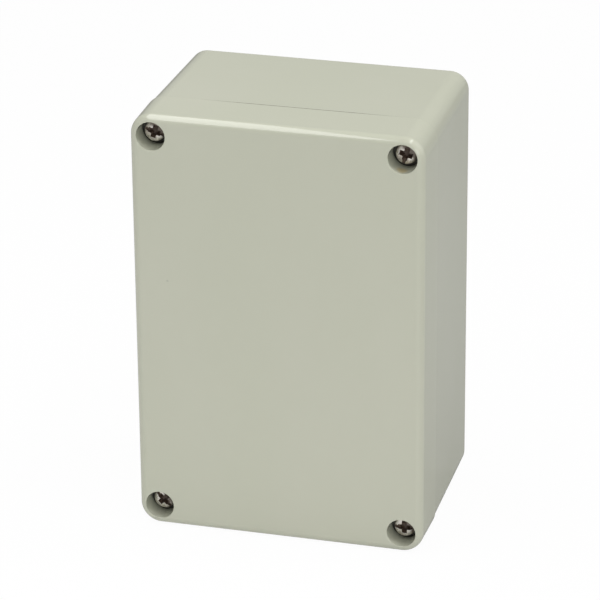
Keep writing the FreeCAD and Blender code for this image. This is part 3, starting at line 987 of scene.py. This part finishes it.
class PROJECTBOX_OT_add_screws(bpy.types.Operator):
    """Build the four captive screws with their drive recesses and threads"""

    bl_idname = "projectbox.add_screws"
    bl_label = "Lid screws"

    def execute(self, context):
        sizes = context.scene.projectbox_screws
        steel = worn_steel(context.scene.projectbox_colours)
        for corner, (x, z) in SCREW_AXES.items():
            low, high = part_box(f"lid_screw_{corner}")
            body = turned(screw_profile(sizes, low.y, high.y), x, z, 48)
            screw = new_object(f"captive_screw_{corner}", body)
            turn = Matrix.Rotation(-HEAD_TURNS[corner], 3, "Y")
            for tool in drive_recess(sizes, low.y):
                bmesh.ops.rotate(tool, cent=(0, 0, 0), matrix=turn, verts=tool.verts)
                bmesh.ops.translate(tool, vec=(x, 0, z), verts=tool.verts)
                combine(screw, tool, "DIFFERENCE")
            soften_edges(screw, sizes.drive_round)
            add_thread(screw, sizes, low.y + sizes.head_height + sizes.neck_length, high.y, x, z)
            shade(screw, math.radians(35))
            place(screw, f"screw_{corner}", f"lid_screw_{corner}", "screw_steel", steel)
        return {"FINISHED"}


def screw_profile(sizes, top_y, tip_y):
    """Pan head, thin neck and the core of the thread, from the top to the tip."""
    under_y = top_y + sizes.head_height
    neck_end = under_y + sizes.neck_length
    soft = sizes.head_round
    lean = math.asin((sizes.head_radius - soft) / (sizes.crown_radius - soft))
    edge_centre = (
        sizes.head_radius - soft,
        top_y + sizes.crown_radius - (sizes.crown_radius - soft) * math.cos(lean),
    )
    start = math.radians(270)
    crown_centre = (0, top_y + sizes.crown_radius)
    crown = arc_points(crown_centre, sizes.crown_radius, start, start + lean, 6)
    edge = arc_points(edge_centre, soft, start + lean, math.tau, 7)
    chamfer = 0.15 * MM
    fillet = 0.1 * MM
    tip = 0.35 * MM
    return [
        *crown[:-1],
        *edge,
        (sizes.head_radius, under_y - chamfer),
        (sizes.head_radius - chamfer, under_y),
        (sizes.neck_radius + fillet, under_y),
        (sizes.neck_radius, under_y + fillet),
        (sizes.neck_radius, neck_end),
        (sizes.core_radius, neck_end + fillet),
        (sizes.core_radius, tip_y - tip),
        (sizes.core_radius - tip, tip_y),
        (0, tip_y),
    ]


def drive_recess(sizes, top_y):
    """Slot, tapered cross and the pit in its middle, as cutting shapes about the origin."""
    reach = 1.2 * sizes.head_radius
    depth = sizes.slot_depth
    slot = tapered_block(reach, sizes.slot_width / 2, top_y - depth, top_y + depth, (1, 1))
    arm = (sizes.cross_length / 2, sizes.cross_width / 2)
    start_y = top_y - OVERSHOOT / 10
    arms = [
        tapered_block(*halves, start_y, top_y + sizes.cross_depth, (0.5, 0.62))
        for halves in (arm, reversed(arm))
    ]
    pit_radius = 0.75 * sizes.cross_width
    pit = [
        (0, top_y - OVERSHOOT),
        (pit_radius, top_y - OVERSHOOT),
        (pit_radius, top_y),
        (pit_radius * 0.6, top_y + sizes.cross_depth),
        (0, top_y + sizes.cross_depth * 1.15),
    ]
    return [slot, *arms, turned(pit, 0, 0, 24)]


def tapered_block(half_x, half_z, top_y, bottom_y, taper):
    """A block about the origin. The taper scales its bottom along x and z."""
    bm = bmesh.new()
    bmesh.ops.create_cube(bm, size=2)
    bmesh.ops.scale(bm, vec=(half_x, 1, half_z), verts=bm.verts)
    bottom = [vert for vert in bm.verts if vert.co.y > 0]
    bmesh.ops.scale(bm, vec=(taper[0], 1, taper[1]), verts=bottom)
    for vert in bm.verts:
        vert.co.y = bottom_y if vert in bottom else top_y
    return bm


def soften_edges(piece, width):
    """Break the sharp edges of a piece."""
    modifier = piece.modifiers.new("soften", "BEVEL")
    modifier.width = width
    modifier.segments = 2
    modifier.limit_method = "ANGLE"
    modifier.angle_limit = math.radians(40)
    take_evaluated_mesh(piece)


def add_thread(piece, sizes, start_y, end_y, x, z):
    """Wind the thread's ridge round the core, as one mesh with the piece."""
    ridge = bmesh.new()
    sunk = 0.05 * MM
    root = sizes.core_radius - sunk
    crest = sizes.thread_radius
    section = [
        (root, 0),
        (crest, sizes.pitch * 0.44),
        (crest, sizes.pitch * 0.56),
        (root, sizes.pitch),
    ]
    verts = [ridge.verts.new((x + radius, start_y + rise, z)) for radius, rise in section]
    face = ridge.faces.new(verts)
    run_out = 1.8
    turns = (end_y - start_y) / sizes.pitch - run_out
    steps = round(turns * THREAD_STEPS)
    bmesh.ops.spin(
        ridge,
        geom=[face],
        cent=(x, 0, z),
        axis=(0, 1, 0),
        dvec=(0, turns * sizes.pitch / steps, 0),
        angle=turns * math.tau,
        steps=steps,
        use_duplicate=False,
    )
    bmesh.ops.recalc_face_normals(ridge, faces=ridge.faces)
    ridge.from_mesh(piece.data)
    ridge.to_mesh(piece.data)
    ridge.free()


class PROJECTBOX_OT_add_inserts(bpy.types.Operator):
    """Build the four tapped brass inserts"""

    bl_idname = "projectbox.add_inserts"
    bl_label = "Brass inserts"

    def execute(self, context):
        sizes = context.scene.projectbox_screws
        brass = turned_brass(context.scene.projectbox_colours)
        for corner, (x, z) in SCREW_AXES.items():
            low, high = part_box(f"insert_{corner}")
            outside = (high.x - low.x) / 2
            bm = turned(insert_profile(sizes, outside, low.y, high.y), x, z, KNURL_STEPS)
            knurl(bm, x, z, outside, sizes.knurl_depth)
            insert = new_object(f"knurled_insert_{corner}", bm)
            shade(insert, math.radians(25))
            place(insert, "base", f"insert_{corner}", "insert_brass", brass)
        return {"FINISHED"}


def insert_profile(sizes, outside, low_y, high_y):
    """A tube with two knurled bands and a groove between them."""
    span = high_y - low_y
    inner = outside - sizes.insert_groove_depth
    soft = 0.15 * MM
    chamfer = 0.2 * MM
    return [
        (sizes.bore_radius + chamfer, low_y),
        (outside - soft, low_y),
        (outside, low_y + soft),
        (outside, low_y + span * 0.38),
        (inner, low_y + span * 0.42),
        (inner, low_y + span * 0.58),
        (outside, low_y + span * 0.62),
        (outside, high_y - soft),
        (outside - soft, high_y),
        (sizes.bore_radius, high_y),
        (sizes.bore_radius, low_y + chamfer),
        (sizes.bore_radius + chamfer, low_y),
    ]


def knurl(bm, x, z, outside, depth):
    """Sink every other column of the outer bands."""
    centre = Vector((x, 0, z))
    for vert in bm.verts:
        arm = Vector((vert.co.x, 0, vert.co.z)) - centre
        column = round(math.atan2(arm.z, arm.x) / math.tau * KNURL_STEPS)
        if arm.length > outside - depth / 2 and column % 2:
            vert.co -= arm.normalized() * depth


class PROJECTBOX_OT_add_stage(bpy.types.Operator):
    """Set the floor, the lights and the camera"""

    bl_idname = "projectbox.add_stage"
    bl_label = "Stage"

    def execute(self, context):
        stage = context.scene.projectbox_stage
        bm = bmesh.new()
        bmesh.ops.create_grid(bm, x_segments=8, y_segments=8, size=6)
        floor = new_object("floor", bm)
        floor.location.z = LID_LOW.z
        floor.data.materials.append(white_floor(stage))

        world = bpy.data.worlds.new("soft_room")
        world.use_nodes = True
        background = world.node_tree.nodes["Background"]
        background.inputs["Color"].default_value = (1, 1, 1, 1)
        background.inputs["Strength"].default_value = stage.room_light
        context.scene.world = world
        for name, (place, aim, size) in LAMPS.items():
            add_lamp(name, place, aim, size, getattr(stage, name))
        add_camera(context, stage)
        context.scene.view_settings.view_transform = "Standard"
        return {"FINISHED"}


def add_lamp(name, place, aim, size, energy):
    """An oval soft lamp, turned towards the place that it is aimed at."""
    lamp = bpy.data.lights.new(name, "AREA")
    lamp.shape = "ELLIPSE"
    lamp.size, lamp.size_y = size
    lamp.energy = energy
    holder = add_object(name, lamp)
    holder.location = place
    holder.rotation_euler = (Vector(aim) - Vector(place)).to_track_quat("-Z", "Y").to_euler()


def add_camera(context, stage):
    """The camera at the photograph's angle."""
    camera = bpy.data.cameras.new("camera")
    camera.lens = stage.lens
    camera.sensor_width = 36
    camera.clip_end = 30
    holder = add_object("camera", camera)
    swing = Matrix.Rotation(stage.azimuth, 3, "Z") @ Matrix.Rotation(-stage.elevation, 3, "X")
    back = swing @ Vector((0, -1, 0))
    middle_y = (FRONT_Y + BACK_Y) / 2
    holder.location = Vector((stage.aim_x, middle_y, stage.aim_z)) + back * stage.distance
    turn = (-back).to_track_quat("-Z", "Y").to_matrix() @ Matrix.Rotation(stage.roll, 3, "Z")
    holder.rotation_euler = turn.to_euler()
    context.scene.camera = holder


class PROJECTBOX_PT_panel(bpy.types.Panel):
    """Buttons for every piece"""

    bl_idname = "PROJECTBOX_PT_panel"
    bl_label = "Project Box"
    bl_space_type = "VIEW_3D"
    bl_region_type = "UI"
    bl_category = "Project Box"

    def draw(self, context):
        for operator in OPERATORS:
            self.layout.operator(operator.bl_idname)


SETTINGS = {
    "projectbox_housing": HousingSizes,
    "projectbox_screws": ScrewSizes,
    "projectbox_colours": FinishColours,
    "projectbox_stage": StageSettings,
}
OPERATORS = (
    PROJECTBOX_OT_add_base,
    PROJECTBOX_OT_add_lid,
    PROJECTBOX_OT_add_gasket,
    PROJECTBOX_OT_add_screws,
    PROJECTBOX_OT_add_inserts,
    PROJECTBOX_OT_add_stage,
)
CLASSES = (*SETTINGS.values(), *OPERATORS, PROJECTBOX_PT_panel)


def register():
    for group in CLASSES:
        bpy.utils.register_class(group)
    for name, group in SETTINGS.items():
        setattr(bpy.types.Scene, name, PointerProperty(type=group))


def unregister():
    for name in SETTINGS:
        delattr(bpy.types.Scene, name)
    for group in reversed(CLASSES):
        bpy.utils.unregister_class(group)


def main():
    register()
    bpy.ops.projectbox.add_base()
    bpy.ops.projectbox.add_lid()
    bpy.ops.projectbox.add_gasket()
    bpy.ops.projectbox.add_screws()
    bpy.ops.projectbox.add_inserts()
    bpy.ops.projectbox.add_stage()


if __name__ == "__main__":
    main()
